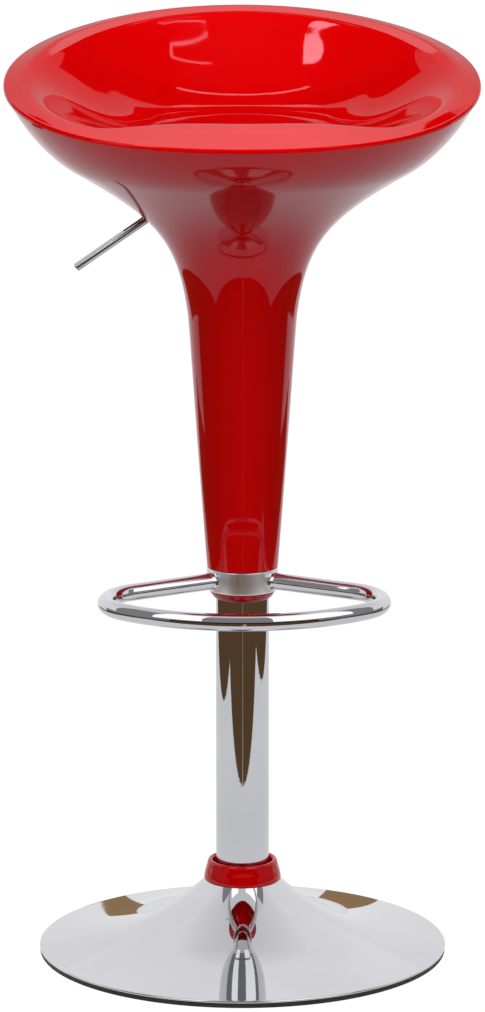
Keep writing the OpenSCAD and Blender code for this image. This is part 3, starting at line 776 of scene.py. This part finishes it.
def one_sided(glow, gradient=None, radial=False):
    """Makes a glowing card see-through from behind. gradient: two heights, or two distances from
    the axis, and the strengths there."""
    tree = glow.node_tree
    out = next(n for n in tree.nodes if n.type == "OUTPUT_MATERIAL")
    lit = next(n for n in tree.nodes if n.type == "EMISSION")
    side = tree.nodes.new("ShaderNodeNewGeometry")
    clear = tree.nodes.new("ShaderNodeBsdfTransparent")
    mix = tree.nodes.new("ShaderNodeMixShader")
    tree.links.new(side.outputs["Backfacing"], mix.inputs[0])
    tree.links.new(lit.outputs[0], mix.inputs[1])
    tree.links.new(clear.outputs[0], mix.inputs[2])
    tree.links.new(mix.outputs[0], out.inputs["Surface"])
    if gradient:
        ramp = tree.nodes.new("ShaderNodeMapRange")
        for key, value in zip(("From Min", "From Max", "To Min", "To Max"), gradient):
            ramp.inputs[key].default_value = value
        part = tree.nodes.new("ShaderNodeVectorMath")
        part.operation = "MULTIPLY"
        part.inputs[1].default_value = (1, 1, 0) if radial else (0, 0, 1)
        size = tree.nodes.new("ShaderNodeVectorMath")
        size.operation = "LENGTH"
        tree.links.new(side.outputs["Position"], part.inputs[0])
        tree.links.new(part.outputs[0], size.inputs[0])
        tree.links.new(size.outputs["Value"], ramp.inputs["Value"])
        tree.links.new(ramp.outputs["Result"], lit.inputs["Strength"])
    return glow


def stage_mesh(name, verts, faces, material, seen=False):
    """Something of the room: either the camera sees it or reflections do."""
    mesh = bpy.data.meshes.new(name)
    mesh.from_pydata([tuple(v) for v in verts], [], faces)
    mesh.materials.append(material)
    obj = bpy.data.objects.new(name, mesh)
    bpy.context.scene.collection.objects.link(obj)
    obj.visible_camera = seen
    obj.visible_glossy = not seen
    obj.visible_diffuse = obj.visible_shadow = False


def card(name, corners, material):
    """A flat card from its corners."""
    stage_mesh(name, corners, [tuple(range(len(corners)))], material)


def flat(x0, x1, y0, y1, z=CARD_Z):
    return [(x0, y0, z), (x1, y0, z), (x1, y1, z), (x0, y1, z)]


def upright(x0, x1, y, z0, z1):
    """Corners of a card across the room, facing the front."""
    return [(x0, y, z0), (x1, y, z0), (x1, y, z1), (x0, y, z1)]


def sideways(x, y0, y1, z1):
    """Corners of a card along the side of the room, standing on the floor."""
    return [(x, y0, 0), (x, y1, 0), (x, y1, z1), (x, y0, z1)]


def white_room():
    """The white floor, walls and ceiling that the camera sees, from inside only."""
    half = ROOM_HALF
    plan = ((-half, -half), (half, -half), (half, half), (-half, half))
    corners = [(x, y, z) for z in (ROOM_Z, ROOM_HEIGHT) for x, y in plan]
    faces = [(0, 1, 2, 3), (7, 6, 5, 4), (4, 5, 1, 0), (5, 6, 2, 1), (6, 7, 3, 2), (7, 4, 0, 3)]
    stage_mesh("white_room", corners, faces, one_sided(emitter("white_room")), seen=True)


def floor_cards():
    """The white sheet, with the brown floor beside it and in front of it, split by a pale strip."""
    (x0, x1), (y0, y1) = SHEET_X, SHEET_Y
    card("sheet", flat(x0, x1, y0, y1), emitter("sheet"))
    brown = emitter("brown_floor")
    card("brown_left", flat(-BROWN_HALF, x0, BROWN_FRONT, y1), brown)
    card("brown_right", flat(x1, BROWN_HALF, BROWN_FRONT, y1), brown)
    card("brown_front_left", flat(x0, -STRIP_HALF, BROWN_FRONT, y0), brown)
    card("brown_front_right", flat(STRIP_HALF, x1, BROWN_FRONT, y0), brown)
    card("pale_strip", flat(-STRIP_HALF, STRIP_HALF, BROWN_FRONT, y0), emitter("pale_strip"))


def wall_cards():
    back = SHEET_Y[1]
    wall, tan, far = emitter("wall"), emitter("tan_post"), emitter("far_wall")
    card("wall_low", upright(-WALL_HALF, WALL_HALF, back, 0, WALL_TOP), wall)
    card("wall_high", upright(-WALL_HALF, WALL_HALF, back, WALL_TOP, HIGH_WALL_TOP), emitter("wall_high"))
    near, wide = POST_X
    card("post_left", upright(-wide, -near, back - 0.01, 0, POST_TOP), tan)
    card("post_right", upright(near, wide, back - 0.01, 0, POST_TOP), tan)
    for side in (-1, 1):
        card("wall_side", sideways(side * WALL_HALF, WALL_FRONT, back, WALL_TOP), wall)
        card("far_wall", sideways(side * BROWN_HALF, -BROWN_HALF, back, FAR_WALL_TOP), far)


def seat_cards():
    """Cards for the lip, the bowl's back, its band and the lever."""
    lip = one_sided(emitter("lip_card"), gradient=(0.9, 1.3, 0.5, 2.0))
    card("lip_card", upright(-0.27, 0.27, 0.12, 0.885, 1.4), lip)
    card("bar_over", flat(-0.42, 0.42, 0.37, 0.42, 1.9), emitter("bar_over"))
    card("band_glow", upright(-0.32, 0.32, 1.3, 1.90, 2.16), emitter("band_glow"))
    to_the_back = upright(-0.75, -0.30, -0.28, 0.92, 1.35)[::-1]
    card("lever_glow", to_the_back, one_sided(emitter("lever_glow")))


def canopies():
    """Sectors of white cloth round the axis, seen only from below."""
    for name, (radii, bearings, height, strength, gradient) in CANOPIES.items():
        angles = np.radians(np.linspace(*bearings, CANOPY_STEPS + 1))
        verts = [(r * math.sin(a), r * math.cos(a), height) for a in angles for r in radii]
        faces = [(k, k + 1, k + 3, k + 2) for k in range(0, 2 * CANOPY_STEPS, 2)]
        cloth = one_sided(emitter(name, CLOTH, strength), gradient, True)
        stage_mesh(name, verts, faces, cloth)


def window():
    """The window that shines into the bowl, rounded on one side, and three bars of its frame."""
    centre = Vector((-0.91, -0.18, 2.54))
    wide, tall = Vector((-0.19, 0.19, -0.07)), Vector((-0.02, -0.29, -0.07))
    outline = [(-0.5, -0.6), (0.1, -0.6), (0.42, -0.4), (0.55, 0), (0.42, 0.4), (0.1, 0.6), (-0.5, 0.6)]
    card("window", [centre + a * wide + b * tall for a, b in outline], emitter("window"))
    ends = [(0.47, -0.68, 2.57), (0.915, -0.31, 2.52), (0.915, -0.14, 2.55), (0.43, -0.36, 2.70)]
    ends = [Vector(end) for end in ends]
    bowl = Vector((-0.05, 0.17, 0.84))
    bar_half = 0.013
    frame_glow = emitter("window_frame")
    for a, b in zip(ends, ends[1:]):
        side = (b - a).cross(bowl - a).normalized() * bar_half
        card("window_frame", [a - side, b - side, b + side, a + side], frame_glow)


def lamp(name, place, target, size, watts):
    """A square lamp that only lights: reflections don't show it."""
    light = bpy.data.lights.new(name, "AREA")
    light.energy = watts
    light.size = size
    obj = bpy.data.objects.new(name, light)
    obj.location = place
    obj.rotation_euler = (Vector(target) - Vector(place)).to_track_quat("-Z", "Y").to_euler()
    obj.visible_glossy = False
    bpy.context.scene.collection.objects.link(obj)


def lamps():
    lamp("top_lamp", (0, -0.5, 2.4), (0, 0, 0.8), 1.6, 30)
    for side in (-1, 1):
        lamp("side_lamp", (side * 1.35, -1.45, 0.95), (0, 0, 1.3), 1.2, 15)
        lamp("back_lamp", (side * 0.9, 1.7, 0.45), (0, 0, 0.65), 1.2, 16)


def studio():
    white_room()
    floor_cards()
    wall_cards()
    seat_cards()
    canopies()
    window()
    lamps()
    world = bpy.data.worlds.new("room")
    bpy.context.scene.world = world
    world.use_nodes = True
    world.node_tree.nodes["Background"].inputs["Color"].default_value = (0.01, 0.008, 0.008, 1)


def camera():
    """Five metres in front and a little to the left, looking down by 12.25 degrees."""
    distance, height = 5, 1.515
    bearing = math.radians(-0.96)
    data = bpy.data.cameras.new("camera")
    data.sensor_width = 36
    data.lens = 194.9
    data.clip_end = 50
    data.dof.use_dof = False
    obj = bpy.data.objects.new("camera", data)
    obj.location = (distance * math.sin(bearing), -distance * math.cos(bearing), height)
    obj.rotation_euler = (math.radians(90 - 12.25), 0, bearing)
    bpy.context.scene.collection.objects.link(obj)
    bpy.context.scene.camera = obj


studio()
camera()
bpy.context.scene.view_settings.view_transform = "Standard"
